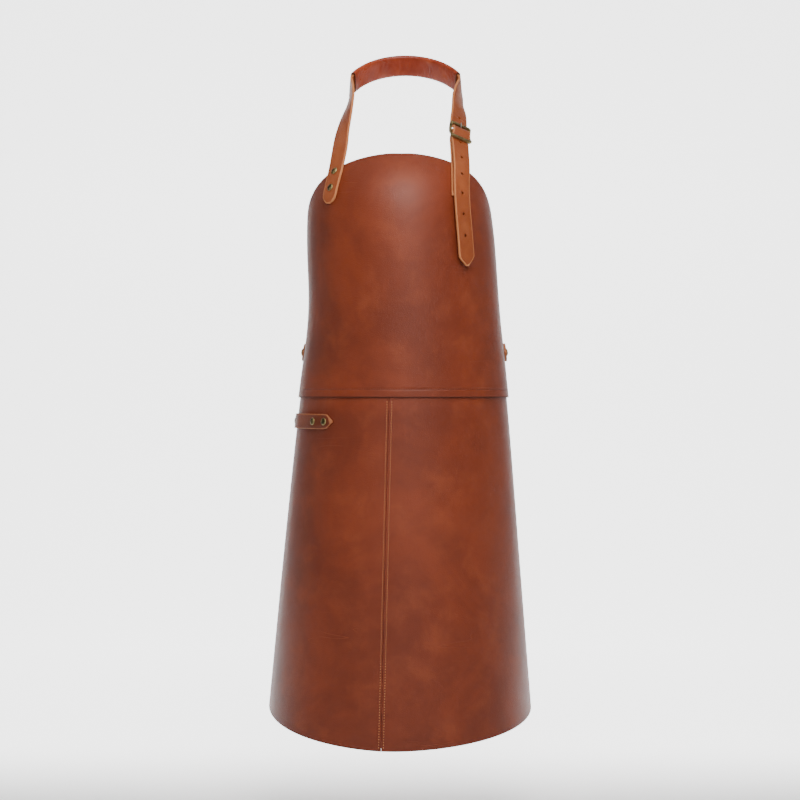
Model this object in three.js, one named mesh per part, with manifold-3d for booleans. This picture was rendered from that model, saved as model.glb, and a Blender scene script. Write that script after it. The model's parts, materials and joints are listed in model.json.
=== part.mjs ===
// Leather work apron: a bib lapped over a two-panel skirt, a neck strap with a sliding sleeve
// and a buckle, a waist strap that buckles behind, and a towel loop at the hip.
// Millimetres. +Z is up and the wearer faces -Y. The origin is the point on the sleeve's inner
// face that rests against the back of the neck.
import * as THREE from 'three';
import { mergeVertices } from 'three/addons/utils/BufferGeometryUtils.js';
import Module from 'manifold-3d';

const wasm = await Module();
wasm.setup();

// ---- Driving dimensions ----

// Leather and running gaps.
const CLEARANCE = 0.3;
const PANEL_THICKNESS = 2;
const STRAP_THICKNESS = 3;
const STRAP_WIDTH = 25;
const CHAPE_THICKNESS = 2;

// Heights.
const BIB_TOP_Z = -151;
const WAIST_SEAM_Z = -470;
const HEM_Z = -929;
const LAP = 20;
const LAP_GAP = 0.6;

// Flat half widths of the panels, measured along the leather from the centre line.
const HEM_HALF_FLAT = 308;
const WAIST_HALF_FLAT = 252;
const CHEST_HALF_FLAT = 228;

// Outline of the cut leather.
const ARMHOLE_DEPTH = 150;
const ARMHOLE_ROUNDNESS = 1.78;
const HEM_RISE = 37;
const HEM_ROUNDNESS = 1.6;
const HEM_LOW_POINT = 12;
const HEM_CORNER = 22;
const SEAM_OFFSET_WAIST = -19;
const SEAM_OFFSET_HEM = -24;
const SEAM_STRIP_WIDTH = 18;
const SEAM_STRIP_THICKNESS = 1.2;

// The hanging form that the leather wraps: half width, half depth, front line and sideways
// shift at each height.
const FORM = [
  { z: HEM_Z, halfWidth: 184, halfDepth: 180, front: -214, shift: -8 },
  { z: (HEM_Z + WAIST_SEAM_Z) / 2, halfWidth: 163, halfDepth: 161, front: -210, shift: -6 },
  { z: WAIST_SEAM_Z, halfWidth: 141, halfDepth: 142, front: -206, shift: -3 },
  { z: WAIST_SEAM_Z + 116, halfWidth: 127.5, halfDepth: 135, front: -209, shift: -2 },
  { z: BIB_TOP_Z - 100, halfWidth: 124, halfDepth: 130, front: -214, shift: -7 },
  { z: BIB_TOP_Z - 55, halfWidth: 120, halfDepth: 126, front: -213, shift: -9 },
  { z: BIB_TOP_Z - 27, halfWidth: 116, halfDepth: 120, front: -201, shift: -8 },
  { z: BIB_TOP_Z, halfWidth: 110, halfDepth: 110, front: -180, shift: -7 },
];

// Rivets: domed cap, shank and back disc.
const RIVET_CAP_RADIUS = 5;
const RIVET_CAP_HEIGHT = 2;
const RIVET_SHANK_RADIUS = 2;
const RIVET_BACK_RADIUS = 4.5;
const RIVET_BACK_THICKNESS = 1;
const RIVET_SEAT_GAP = 0.65;
const RIVET_SPACING = 22;

// Neck sleeve: a flat tube of leather round the strap, bent to a half circle.
const NECK_RADIUS = 78;
const NECK_TILT = THREE.MathUtils.degToRad(42);
const SLEEVE_HALF_ANGLE = THREE.MathUtils.degToRad(64);
const SLEEVE_WIDTH = 33;
const SLEEVE_WALL = 1.8;
const SLEEVE_GAP = 0.6;

// Strap holes.
const HOLE_PITCH = 28;
const HOLE_RADIUS = 2.2;
const NECK_HOLES_ABOVE = 1;
const NECK_HOLES_BELOW = 6;
const WAIST_HOLES_BELOW = 3;
const WAIST_HOLES_ABOVE = 2;
const NECK_TAIL_LENGTH = 208;
const WAIST_TAIL_LENGTH = 120;
const POINT_LENGTH = 11;

// Centre-bar buckle, the same at the neck and at the waist.
const BUCKLE_INSIDE_WIDTH = STRAP_WIDTH + 1.6;
const BUCKLE_RAIL = 2.7;
const BUCKLE_PITCH = 13.5;
const BUCKLE_BAR_WIDTH = 4.2;
const BUCKLE_THICKNESS = 3;
const BUCKLE_ARCH = 3;
const BUCKLE_STRAP_GAP = 0.8;
const CENTRE_BAR_RADIUS = 1.3;
const TONGUE_RADIUS = 1;
const TONGUE_OVERHANG = 3;
const TONGUE_HOLE_GAP = 0.6;
const SPLIT_SHARE = 1.25;
const TONGUE_LIFT = THREE.MathUtils.degToRad(10);

// Places on the form: arc length from the centre line, and height.
const NECK_END = { s: -102, z: BIB_TOP_Z - 64 };
const NECK_RIVET_INSET = 20;
const NECK_END_LEAN = THREE.MathUtils.degToRad(14);
const CHAPE_ARC = 81;
const CHAPE_END_Z = BIB_TOP_Z - 58;
const WAIST_STRAP_Z = WAIST_SEAM_Z + 62;
const WAIST_STRAP_INSET = 40;
const WAIST_RIVET_INSET = 11;
const WAIST_RIVET_SPACING = 16;
const WAIST_BUCKLE_OFFSET = 34;
const KEEPER_OFFSET = 52;
const KEEPER_WIDTH = 12;
const KEEPER_THICKNESS = 1.8;
const TOWEL_LOOP_Z = WAIST_SEAM_Z - 32;
const TOWEL_LOOP_FRONT = -99;
const TOWEL_LOOP_BACK_INSET = 10;
const TOWEL_LOOP_WIDTH = 20;
const TOWEL_LOOP_THICKNESS = 2.6;
const TOWEL_LOOP_SLACK = 1.4;
const TOWEL_RIVET_INSET = 14;
const TOWEL_RIVET_SPACING = 23;

// ---- Leather and metal colours ----

const bodyLeather = { color: 0x8f4a2f, roughness: 0.38, metalness: 0 };
const strapLeather = { color: 0xa35c33, roughness: 0.5, metalness: 0 };
const antiqueBrass = { color: 0x6b5a3a, roughness: 0.4, metalness: 0.9 };

const group = new THREE.Group();

function addPiece(name, geometry, look) {
  const mesh = new THREE.Mesh(geometry, new THREE.MeshStandardMaterial(look));
  mesh.name = name;
  group.add(mesh);
  return mesh;
}

// ---- Joining and cutting ----

function toSolid(geometry) {
  const bare = geometry.clone();
  bare.deleteAttribute('normal');
  bare.deleteAttribute('uv');
  const merged = mergeVertices(bare, 1e-4);
  return new wasm.Manifold(new wasm.Mesh({
    numProp: 3,
    vertProperties: new Float32Array(merged.attributes.position.array),
    triVerts: new Uint32Array(merged.index.array),
  }));
}

function toGeometry(solid) {
  const mesh = solid.getMesh();
  const geometry = new THREE.BufferGeometry();
  geometry.setAttribute('position', new THREE.BufferAttribute(mesh.vertProperties, 3));
  geometry.setIndex(new THREE.BufferAttribute(mesh.triVerts, 1));
  geometry.computeVertexNormals();
  return geometry;
}

function cut(geometry, cutters) {
  let solid = toSolid(geometry);
  for (const cutter of cutters) {
    solid = solid.subtract(toSolid(cutter));
  }
  return toGeometry(solid);
}

function join(geometries) {
  let solid = toSolid(geometries[0]);
  for (const other of geometries.slice(1)) {
    solid = solid.add(toSolid(other));
  }
  return toGeometry(solid);
}

// Moves every vertex of a straight blank to the place that place(x, y, z) gives.
function shape(blank, place) {
  const position = blank.attributes.position;
  for (let i = 0; i < position.count; i += 1) {
    const point = place(position.getX(i), position.getY(i), position.getZ(i));
    position.setXYZ(i, point.x, point.y, point.z);
  }
  blank.computeVertexNormals();
  return blank;
}

// ---- The form ----

const formValues = FORM.flatMap((row) => [row.halfWidth, row.halfDepth, row.front, row.shift]);
const formCurve = new THREE.CubicInterpolant(FORM.map((row) => row.z), formValues, 4, []);

function formSurface(s, z) {
  const [halfWidth, halfDepth, front, shift] = formCurve.evaluate(z);
  const angle = s / ((halfWidth + halfDepth) / 2);
  return new THREE.Vector3(
    shift + halfWidth * Math.sin(angle),
    front + halfDepth * (1 - Math.cos(angle)),
    z,
  );
}

// A point of the form with its outward direction and the directions along and up the leather.
function formFrame(s, z, lift = 0) {
  const step = 0.5;
  const along = formSurface(s + step, z).sub(formSurface(s - step, z)).normalize();
  const rising = formSurface(s, z + step).sub(formSurface(s, z - step));
  const out = new THREE.Vector3().crossVectors(along, rising).normalize();
  const up = new THREE.Vector3().crossVectors(out, along);
  const point = formSurface(s, z).addScaledVector(out, lift);
  return { point, out, along, up };
}

function formGirth(z) {
  const [halfWidth, halfDepth] = formCurve.evaluate(z);
  return Math.PI * (halfWidth + halfDepth);
}

function halfFlat(z) {
  if (z < WAIST_SEAM_Z) {
    const share = (z - HEM_Z) / (WAIST_SEAM_Z - HEM_Z);
    return THREE.MathUtils.lerp(HEM_HALF_FLAT, WAIST_HALF_FLAT, share);
  }
  const share = (z - WAIST_SEAM_Z) / (BIB_TOP_Z - WAIST_SEAM_Z);
  return THREE.MathUtils.lerp(WAIST_HALF_FLAT, CHEST_HALF_FLAT, share);
}

const SKIRT_INSIDE = 0;
const SKIRT_OUTSIDE = SKIRT_INSIDE + PANEL_THICKNESS;
const BIB_INSIDE = SKIRT_OUTSIDE + LAP_GAP;
const BIB_OUTSIDE = BIB_INSIDE + PANEL_THICKNESS;

// A panel of leather on the form. place(u, v) gives arc length and height for u and v in 0..1.
function panel(columns, rows, inside, thickness, place) {
  return shape(new THREE.BoxGeometry(1, 1, 1, columns, rows, 1), (x, y, z) => {
    const { s, height } = place(x + 0.5, y + 0.5);
    return formFrame(s, height, inside + (0.5 + z) * thickness).point;
  });
}

// ---- Rivets ----

// A set rivet through leather that lies between two lifts above the form.
function rivetAt(frame, inside, outside) {
  const half = (outside - inside) / 2 + RIVET_SEAT_GAP;
  const profile = [
    [0, -half - RIVET_BACK_THICKNESS],
    [RIVET_BACK_RADIUS, -half - RIVET_BACK_THICKNESS],
    [RIVET_BACK_RADIUS, -half],
    [RIVET_SHANK_RADIUS, -half],
    [RIVET_SHANK_RADIUS, half],
    [RIVET_CAP_RADIUS, half],
    [RIVET_CAP_RADIUS * 0.92, half + RIVET_CAP_HEIGHT * 0.6],
    [RIVET_CAP_RADIUS * 0.5, half + RIVET_CAP_HEIGHT * 0.93],
    [0, half + RIVET_CAP_HEIGHT],
  ].map(([radius, height]) => new THREE.Vector2(radius, height));
  const geometry = new THREE.LatheGeometry(profile, 8);
  const centre = frame.point.clone().addScaledVector(frame.out, (inside + outside) / 2);
  return seat(geometry, centre, frame.out);
}

// A hole through the leather for a rivet's shank or a buckle's tongue.
function holeAt(frame, radius, reach = 14) {
  return seat(new THREE.CylinderGeometry(radius, radius, reach, 8), frame.point, frame.out);
}

// Turns a solid made along +Y to lie along a direction, at a point.
function seat(geometry, point, direction) {
  const turn = new THREE.Quaternion().setFromUnitVectors(new THREE.Vector3(0, 1, 0), direction);
  geometry.applyQuaternion(turn);
  geometry.translate(point.x, point.y, point.z);
  return geometry;
}

// ---- Straps ----

// A strap's route: smooth curves through hand-set stations, each with a point and the
// direction that the strap's outer face looks in.
function route(stations) {
  const centre = new THREE.CatmullRomCurve3(stations.map((station) => station.point));
  centre.arcLengthDivisions = 1200;
  const facing = new THREE.CatmullRomCurve3(stations.map((station) => station.out));
  const length = centre.getLength();
  function frameAt(distance) {
    const share = THREE.MathUtils.clamp(distance / length, 0, 1);
    const t = centre.getUtoTmapping(share);
    const along = centre.getTangent(t);
    const out = facing.getPoint(t);
    out.addScaledVector(along, -out.dot(along)).normalize();
    const side = new THREE.Vector3().crossVectors(along, out);
    const point = centre.getPoint(t).addScaledVector(along, distance - share * length);
    return { point, out, along, side };
  }
  return { length, frameAt };
}

function nearestDistance(path, target) {
  let best = 0;
  let least = Infinity;
  for (let distance = 0; distance <= path.length; distance += 0.25) {
    const gap = path.frameAt(distance).point.distanceTo(target);
    if (gap < least) {
      least = gap;
      best = distance;
    }
  }
  return best;
}

const square = () => 1;
const BULGE_REACH = 2 * BUCKLE_PITCH;
const BULGE_STEP = 2.5;

// Half-width shares near a strap's end, for a cut at distance 0 from that end.
function roundEnd(width) {
  const radius = width / 2;
  return (fromEnd) => {
    const into = Math.min(fromEnd, radius);
    return Math.max(Math.sqrt(radius * radius - (radius - into) ** 2) / radius, 0.3);
  };
}

function pointedEnd(fromEnd) {
  return THREE.MathUtils.clamp(0.12 + (0.88 * fromEnd) / POINT_LENGTH, 0, 1);
}

// A strap along a route between two distances, its ends shaped by startEnd and stopEnd. Steps
// are short within a buckle's reach of the distance bulge, where the strap bends sharply.
function strap(path, start, stop, width, thickness, ends = {}) {
  const { startEnd = square, stopEnd = square, step = 8, bulge = Infinity } = ends;
  const shaping = 4;
  const trim = Math.min(width / 2, (stop - start) / 4);
  const places = [];
  for (let i = 0; i < shaping; i += 1) {
    places.push(start + trim * (1 - Math.cos((i / shaping) * Math.PI / 2)));
  }
  let reached = start + trim;
  while (reached < stop - trim - 1) {
    places.push(reached);
    reached += Math.abs(reached - bulge) < BULGE_REACH ? BULGE_STEP : step;
  }
  places.push(stop - trim);
  for (let i = shaping - 1; i >= 0; i -= 1) {
    places.push(stop - trim * (1 - Math.cos((i / shaping) * Math.PI / 2)));
  }
  const count = places.length - 1;
  return shape(new THREE.BoxGeometry(1, 1, 1, count, 1, 1), (x, y, z) => {
    const distance = places[Math.round((x + 0.5) * count)];
    const frame = path.frameAt(distance);
    const share = Math.min(startEnd(distance - start), stopEnd(stop - distance));
    return frame.point
      .addScaledVector(frame.side, -y * width * share)
      .addScaledVector(frame.out, z * thickness);
  });
}

// ---- Buckle, drawn about its centre bar ----

// Lift of the buckle's frame above the centre bar, at a distance along the strap.
function frameLift(along) {
  const share = Math.abs(along) / (BUCKLE_PITCH - BUCKLE_BAR_WIDTH / 2);
  return BUCKLE_ARCH * Math.min(share, 1) ** 2;
}

const RING_RADIUS = CENTRE_BAR_RADIUS + CLEARANCE + TONGUE_RADIUS;
const STRAP_UNDER_BAR = BUCKLE_ARCH - BUCKLE_THICKNESS / 2 - BUCKLE_STRAP_GAP - STRAP_THICKNESS / 2;
const STRAP_OVER_CENTRE = RING_RADIUS + TONGUE_RADIUS + CLEARANCE + STRAP_THICKNESS / 2;
const TONGUE_REST = BUCKLE_ARCH + BUCKLE_THICKNESS / 2 + CLEARANCE + TONGUE_RADIUS;

function buckleFrameGeometry() {
  const halfWidth = BUCKLE_INSIDE_WIDTH / 2 + BUCKLE_RAIL;
  const halfHeight = BUCKLE_PITCH + BUCKLE_BAR_WIDTH / 2;
  const insideHalf = BUCKLE_PITCH - BUCKLE_BAR_WIDTH / 2;
  const railPoints = [0.67, 0.33, 0, -0.33, -0.67];
  const rim = new THREE.Shape(roundedOutline(halfWidth, halfHeight, 4, 3, railPoints));
  const window = roundedOutline(BUCKLE_INSIDE_WIDTH / 2, insideHalf, 1.5, 2, railPoints);
  rim.holes.push(new THREE.Path(window));
  const plate = new THREE.ExtrudeGeometry(rim, { depth: BUCKLE_THICKNESS, bevelEnabled: false });
  shape(plate, (x, y, z) => new THREE.Vector3(x, y, z - BUCKLE_THICKNESS / 2 + frameLift(y)));
  const barLength = BUCKLE_INSIDE_WIDTH + BUCKLE_RAIL;
  const bar = new THREE.CylinderGeometry(CENTRE_BAR_RADIUS, CENTRE_BAR_RADIUS, barLength, 12);
  bar.rotateZ(Math.PI / 2);
  return join([plate, bar]);
}

// Points of a rectangle with rounded corners and extra points along its two long sides.
function roundedOutline(halfWidth, halfHeight, radius, cornerSteps = 3, sidePoints = []) {
  const points = [];
  const corners = [[1, 1, 0], [-1, 1, 1], [-1, -1, 2], [1, -1, 3]];
  for (const [right, top, quarter] of corners) {
    for (let i = 0; i <= cornerSteps; i += 1) {
      const angle = (quarter + i / cornerSteps) * (Math.PI / 2);
      points.push(new THREE.Vector2(
        right * (halfWidth - radius) + radius * Math.cos(angle),
        top * (halfHeight - radius) + radius * Math.sin(angle),
      ));
    }
    if (quarter % 2 === 1) {
      for (const share of sidePoints) {
        points.push(new THREE.Vector2(right * halfWidth, top * share * (halfHeight - radius)));
      }
    }
  }
  return points;
}

function tongueGeometry(radius, lift) {
  const reach = BUCKLE_PITCH + TONGUE_OVERHANG;
  const prongPath = new THREE.CatmullRomCurve3([
    new THREE.Vector3(0, 1.2, RING_RADIUS * 0.9),
    new THREE.Vector3(0, 4.6, RING_RADIUS + 0.9),
    new THREE.Vector3(0, 9, TONGUE_REST - 0.7),
    new THREE.Vector3(0, BUCKLE_PITCH - 2, TONGUE_REST),
    new THREE.Vector3(0, reach, TONGUE_REST - 0.1),
  ]);
  const section = new THREE.Shape().absarc(0, 0, radius, 0, Math.PI * 2);
  const prong = new THREE.ExtrudeGeometry(section, {
    steps: 9,
    curveSegments: 3,
    extrudePath: prongPath,
  });
  const ring = new THREE.TorusGeometry(RING_RADIUS, radius, 6, 12);
  ring.rotateY(Math.PI / 2);
  const tongue = join([ring, prong]);
  tongue.rotateX(lift);
  return tongue;
}

// Turns a solid drawn about the centre bar to its place: X across, Y towards the tongue's tip,
// Z outwards.
function placeBuckle(geometry, buckle) {
  const basis = new THREE.Matrix4().makeBasis(buckle.across, buckle.along, buckle.out);
  geometry.applyMatrix4(basis);
  geometry.translate(buckle.point.x, buckle.point.y, buckle.point.z);
  return geometry;
}

function buckleFrameOf(point, along, out, bend) {
  const forward = along.clone().normalize();
  const outward = out.clone().addScaledVector(forward, -out.dot(forward)).normalize();
  const across = new THREE.Vector3().crossVectors(forward, outward);
  return { point, along: forward, out: outward, across, bend };
}

// A station of a route, given along the buckle and above its centre bar. The leather bends
// with the body under the straight buckle.
function buckleStation(buckle, along, above) {
  const point = buckle.point.clone()
    .addScaledVector(buckle.along, along)
    .addScaledVector(buckle.out, above - (buckle.bend * along * along) / 2);
  return { point, out: buckle.out.clone().addScaledVector(buckle.along, buckle.bend * along) };
}

// Height of the strap's middle above the centre bar.
function strapAbove(along) {
  const rise = 1 - THREE.MathUtils.smoothstep(Math.abs(along) / BUCKLE_PITCH, 0.2, 0.85);
  return THREE.MathUtils.lerp(STRAP_UNDER_BAR, STRAP_OVER_CENTRE, rise);
}

// A station a distance below the strap's middle, on side +1 or -1 of a folded ply.
function underStrap(buckle, along, below, face) {
  const slope = (strapAbove(along + 0.1) - strapAbove(along - 0.1)) / 0.2;
  const down = below / Math.hypot(1, slope);
  const station = buckleStation(buckle, along + slope * down, strapAbove(along) - down);
  station.out = buckle.out.clone().addScaledVector(buckle.along, -slope).multiplyScalar(face);
  return station;
}

// The strap's way through the buckle: under the tip's bar, over the centre, under the heel bar.
function buckledStations(buckle) {
  return [1.5, 1.2, 0.85, 0.7, 0.5, 0.3, 0, -0.3, -0.5, -0.7, -0.85, -1.2, -1.5].map((share) => (
    buckleStation(buckle, share * BUCKLE_PITCH, strapAbove(share * BUCKLE_PITCH))
  ));
}

// The folded end that holds the centre bar: back ply, round the bar, and the front ply's end.
const FOLD_GAP = CLEARANCE + 0.35;
const FOLD_FROM_END = 1.7 * BUCKLE_PITCH;
const FRONT_PLY = (STRAP_THICKNESS + CHAPE_THICKNESS) / 2 + FOLD_GAP;
const BACK_PLY = FRONT_PLY + CHAPE_THICKNESS + FOLD_GAP;

function foldStations(buckle) {
  const bend = CENTRE_BAR_RADIUS + CLEARANCE + CHAPE_THICKNESS / 2;
  const stations = [-2.1, -1.7, -1.3, -1, -0.8].map((share) => (
    underStrap(buckle, share * BUCKLE_PITCH, BACK_PLY, 1)
  ));
  stations.push(buckleStation(buckle, -bend, -bend * 1.15));
  for (let i = 0; i <= 4; i += 1) {
    const angle = (i / 4) * Math.PI;
    const along = bend * Math.sin(angle);
    const above = -bend * Math.cos(angle);
    const station = buckleStation(buckle, along, above);
    station.out = buckle.out.clone().multiplyScalar(-above).addScaledVector(buckle.along, -along);
    stations.push(station);
  }
  for (const share of [-0.3, -0.45, -0.6, -0.8, -1.05, -1.4]) {
    stations.push(underStrap(buckle, share * BUCKLE_PITCH, FRONT_PLY, -1));
  }
  return stations;
}

// Slot in the fold that lets the tongue's ring turn.
function ringSlot(buckle) {
  const side = 2 * (TONGUE_RADIUS + TONGUE_HOLE_GAP);
  const long = 2 * (RING_RADIUS + TONGUE_RADIUS + TONGUE_HOLE_GAP);
  return placeBuckle(new THREE.BoxGeometry(side, long, long + 4), buckle);
}

// The tongue's way through a strap, from just below rest to fully lifted.
function tongueWay(buckle) {
  return [-0.2, 0.4, 1].map((share) => (
    placeBuckle(tongueGeometry(TONGUE_RADIUS + TONGUE_HOLE_GAP, share * TONGUE_LIFT), buckle)
  ));
}

// ---- Neck loop ----

const neckUp = new THREE.Vector3(0, Math.cos(NECK_TILT), Math.sin(NECK_TILT));
const neckAxis = new THREE.Vector3(0, -Math.sin(NECK_TILT), Math.cos(NECK_TILT));
const neckCentre = neckUp.clone().multiplyScalar(-NECK_RADIUS);
const SLEEVE_DEPTH = STRAP_THICKNESS + 2 * (SLEEVE_GAP + SLEEVE_WALL);
const NECK_STRAP_RADIUS = NECK_RADIUS + SLEEVE_DEPTH / 2;

// A point on the neck circle, at an angle from the back of the neck towards +X.
function neckFrame(angle, radius) {
  const out = neckUp.clone().multiplyScalar(Math.cos(angle));
  out.x = Math.sin(angle);
  return { point: neckCentre.clone().addScaledVector(out, radius), out };
}

function neckStations() {
  const margin = THREE.MathUtils.degToRad(5);
  const reach = SLEEVE_HALF_ANGLE + margin;
  const count = 14;
  const stations = [];
  for (let i = 0; i <= count; i += 1) {
    const angle = THREE.MathUtils.lerp(-reach, reach, i / count);
    stations.push(neckFrame(angle, NECK_STRAP_RADIUS));
  }
  return stations;
}

// Between the neck and the bib the strap turns from edge-on to flat on the chest.
function freeStation(x, y, z, turn) {
  const angle = THREE.MathUtils.degToRad(turn);
  const facing = Math.cos(angle);
  return {
    point: new THREE.Vector3(x, y, z),
    out: new THREE.Vector3(Math.sign(x) * Math.sin(angle), -0.74 * facing, 0.67 * facing),
  };
}

const neckBuckle = buckleFrameOf(
  new THREE.Vector3(72, -141, -117),
  new THREE.Vector3(-0.03, 0.67, 0.74),
  new THREE.Vector3(0.5, -0.663, 0.556),
  0,
);

const STRAP_ON_BIB = BIB_OUTSIDE + CLEARANCE + STRAP_THICKNESS / 2;
const CHAPE_ON_BIB = BIB_OUTSIDE + CLEARANCE + CHAPE_THICKNESS / 2;
const CHAPE_OUTSIDE = CHAPE_ON_BIB + CHAPE_THICKNESS / 2;
const CAPS_OUTSIDE = CHAPE_OUTSIDE + RIVET_SEAT_GAP + RIVET_CAP_HEIGHT;
const TAIL_ON_BIB = CAPS_OUTSIDE + 2 * CLEARANCE + STRAP_THICKNESS / 2;

// A station on the bib, a distance up the leaning end of the neck strap.
function neckEndStation(up) {
  const s = NECK_END.s + up * Math.sin(NECK_END_LEAN);
  const z = NECK_END.z + up * Math.cos(NECK_END_LEAN);
  return formFrame(s, z, STRAP_ON_BIB);
}

function tailStation(down, lift) {
  return formFrame(CHAPE_ARC + down * 0.03, BIB_TOP_Z - down, lift);
}

const neckPath = route([
  neckEndStation(0),
  neckEndStation(14),
  neckEndStation(28),
  neckEndStation(42),
  freeStation(-88.5, -157, -144, 36),
  freeStation(-85.5, -135, -116, 42),
  freeStation(-80.5, -110, -87, 53),
  freeStation(-76, -80, -61, 68),
  freeStation(-75.5, -54, -43, 80),
  ...neckStations(),
  freeStation(75, -54, -43, 72),
  freeStation(72, -80, -61, 58),
  freeStation(72.5, -103, -81, 42),
  ...buckledStations(neckBuckle),
  tailStation(22, TAIL_ON_BIB + 1),
  tailStation(42, TAIL_ON_BIB),
  tailStation(70, TAIL_ON_BIB),
  tailStation(105, TAIL_ON_BIB),
  tailStation(150, TAIL_ON_BIB),
  tailStation(195, TAIL_ON_BIB),
]);

const neckHole = nearestDistance(neckPath, buckleStation(neckBuckle, BUCKLE_PITCH / 2, 2).point);
const neckSplit = nearestDistance(neckPath, buckleStation(neckBuckle, -SPLIT_SHARE * BUCKLE_PITCH, 0).point);
const neckStop = neckHole + NECK_TAIL_LENGTH;
const neckWay = tongueWay(neckBuckle);
const neckRivets = [NECK_RIVET_INSET, NECK_RIVET_INSET + RIVET_SPACING].map(neckEndStation);

function strapHoles(path, first, from, to) {
  const holes = [];
  for (let i = from; i <= to; i += 1) {
    if (i !== 0) {
      holes.push(holeAt(path.frameAt(first + i * HOLE_PITCH), HOLE_RADIUS));
    }
  }
  return holes;
}

const neckStrap = strap(neckPath, 0, neckSplit - CLEARANCE / 2, STRAP_WIDTH, STRAP_THICKNESS, {
  startEnd: roundEnd(STRAP_WIDTH),
  bulge: neckHole,
});
const shankHole = RIVET_SHANK_RADIUS + CLEARANCE;
addPiece('neck_strap', cut(neckStrap, [
  ...neckRivets.map((frame) => holeAt(frame, shankHole)),
  ...strapHoles(neckPath, neckHole, -NECK_HOLES_ABOVE, 0),
  ...neckWay,
]), strapLeather);

const neckTail = strap(neckPath, neckSplit + CLEARANCE / 2, neckStop, STRAP_WIDTH, STRAP_THICKNESS, {
  stopEnd: pointedEnd,
});
addPiece('neck_strap_tail', cut(
  neckTail,
  strapHoles(neckPath, neckHole, 1, NECK_HOLES_BELOW),
), strapLeather);

neckRivets.forEach((frame, i) => {
  const base = { point: frame.point.clone().addScaledVector(frame.out, -STRAP_ON_BIB), out: frame.out };
  const outside = STRAP_ON_BIB + STRAP_THICKNESS / 2;
  addPiece(`neck_strap_rivet_${i + 1}`, rivetAt(base, BIB_INSIDE, outside), antiqueBrass);
});

// The sleeve is one flat tube, bent round the neck over the strap.
function sleeveGeometry() {
  const outer = roundedOutline(SLEEVE_WIDTH / 2, SLEEVE_DEPTH / 2, SLEEVE_DEPTH / 2 - 0.2, 2);
  const insideDepth = SLEEVE_DEPTH / 2 - SLEEVE_WALL;
  const inner = roundedOutline(SLEEVE_WIDTH / 2 - SLEEVE_WALL, insideDepth, insideDepth - 0.1, 2);
  const section = new THREE.Shape(outer);
  section.holes.push(new THREE.Path(inner));
  const blank = new THREE.ExtrudeGeometry(section, { depth: 1, steps: 18, bevelEnabled: false });
  return shape(blank, (x, y, z) => {
    const angle = THREE.MathUtils.lerp(-SLEEVE_HALF_ANGLE, SLEEVE_HALF_ANGLE, z);
    return neckFrame(angle, NECK_STRAP_RADIUS + y).point.addScaledVector(neckAxis, -x);
  });
}

addPiece('neck_sleeve', sleeveGeometry(), bodyLeather);

// Buckle of the neck strap, held by a short folded strap riveted to the bib.
addPiece('neck_buckle_frame', placeBuckle(buckleFrameGeometry(), neckBuckle), antiqueBrass);
addPiece('neck_buckle_tongue', placeBuckle(tongueGeometry(TONGUE_RADIUS, 0), neckBuckle), antiqueBrass);

const chapeEnd = BIB_TOP_Z - CHAPE_END_Z;
const chapePath = route([
  tailStation(chapeEnd, CHAPE_ON_BIB),
  tailStation(chapeEnd - 14, CHAPE_ON_BIB),
  tailStation(chapeEnd - 28, CHAPE_ON_BIB),
  tailStation(chapeEnd - 40, CHAPE_ON_BIB),
  ...foldStations(neckBuckle),
]);
const chapeRivets = [10, 10 + RIVET_SPACING].map((up) => tailStation(chapeEnd - up, CHAPE_ON_BIB));
addPiece('neck_buckle_chape', cut(
  strap(chapePath, 0, chapePath.length, STRAP_WIDTH - 1, CHAPE_THICKNESS, {
    bulge: chapePath.length - FOLD_FROM_END,
  }),
  [...chapeRivets.map((frame) => holeAt(frame, shankHole, 8)), ringSlot(neckBuckle)],
), strapLeather);

chapeRivets.forEach((frame, i) => {
  const base = { point: frame.point.clone().addScaledVector(frame.out, -CHAPE_ON_BIB), out: frame.out };
  addPiece(`neck_chape_rivet_${i + 1}`, rivetAt(base, BIB_INSIDE, CHAPE_OUTSIDE), antiqueBrass);
});

// ---- Waist straps, right round the back ----

const waistGirth = formGirth(WAIST_STRAP_Z);
const waistEdge = halfFlat(WAIST_STRAP_Z);
const waistStart = waistEdge - WAIST_STRAP_INSET;
const buckleArc = waistGirth / 2 + WAIST_BUCKLE_OFFSET;
const leftStart = waistGirth - waistStart;

// The plane of the buckle's centre bar lies this far off the form, so the folded end clears it.
const BAR_LIFT = BIB_OUTSIDE + 9;
const barFrame = formFrame(buckleArc, WAIST_STRAP_Z, BAR_LIFT);
const waistBuckle = buckleFrameOf(
  barFrame.point,
  barFrame.along.clone().negate(),
  barFrame.out,
  (2 * Math.PI) / waistGirth,
);

function waistStation(s, lift) {
  return formFrame(s, WAIST_STRAP_Z, lift);
}

function waistRun(from, to, lift) {
  const count = 8;
  const stations = [];
  for (let i = 0; i <= count; i += 1) {
    stations.push(waistStation(THREE.MathUtils.lerp(from, to, i / count), lift));
  }
  return stations;
}

const KEPT_STRAP = BAR_LIFT + STRAP_UNDER_BAR;
const waistPath = route([
  ...waistRun(waistStart, waistStart + 60, STRAP_ON_BIB),
  ...waistRun(waistStart + 90, buckleArc - 34, KEPT_STRAP),
  ...buckledStations(waistBuckle),
  ...waistRun(buckleArc + 34, buckleArc + WAIST_TAIL_LENGTH + 20, KEPT_STRAP),
]);
const waistHole = nearestDistance(waistPath, buckleStation(waistBuckle, BUCKLE_PITCH / 2, 2).point);
const waistStop = waistHole + WAIST_TAIL_LENGTH;
const waistRivetPlaces = [WAIST_RIVET_INSET, WAIST_RIVET_INSET + WAIST_RIVET_SPACING];

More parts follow.
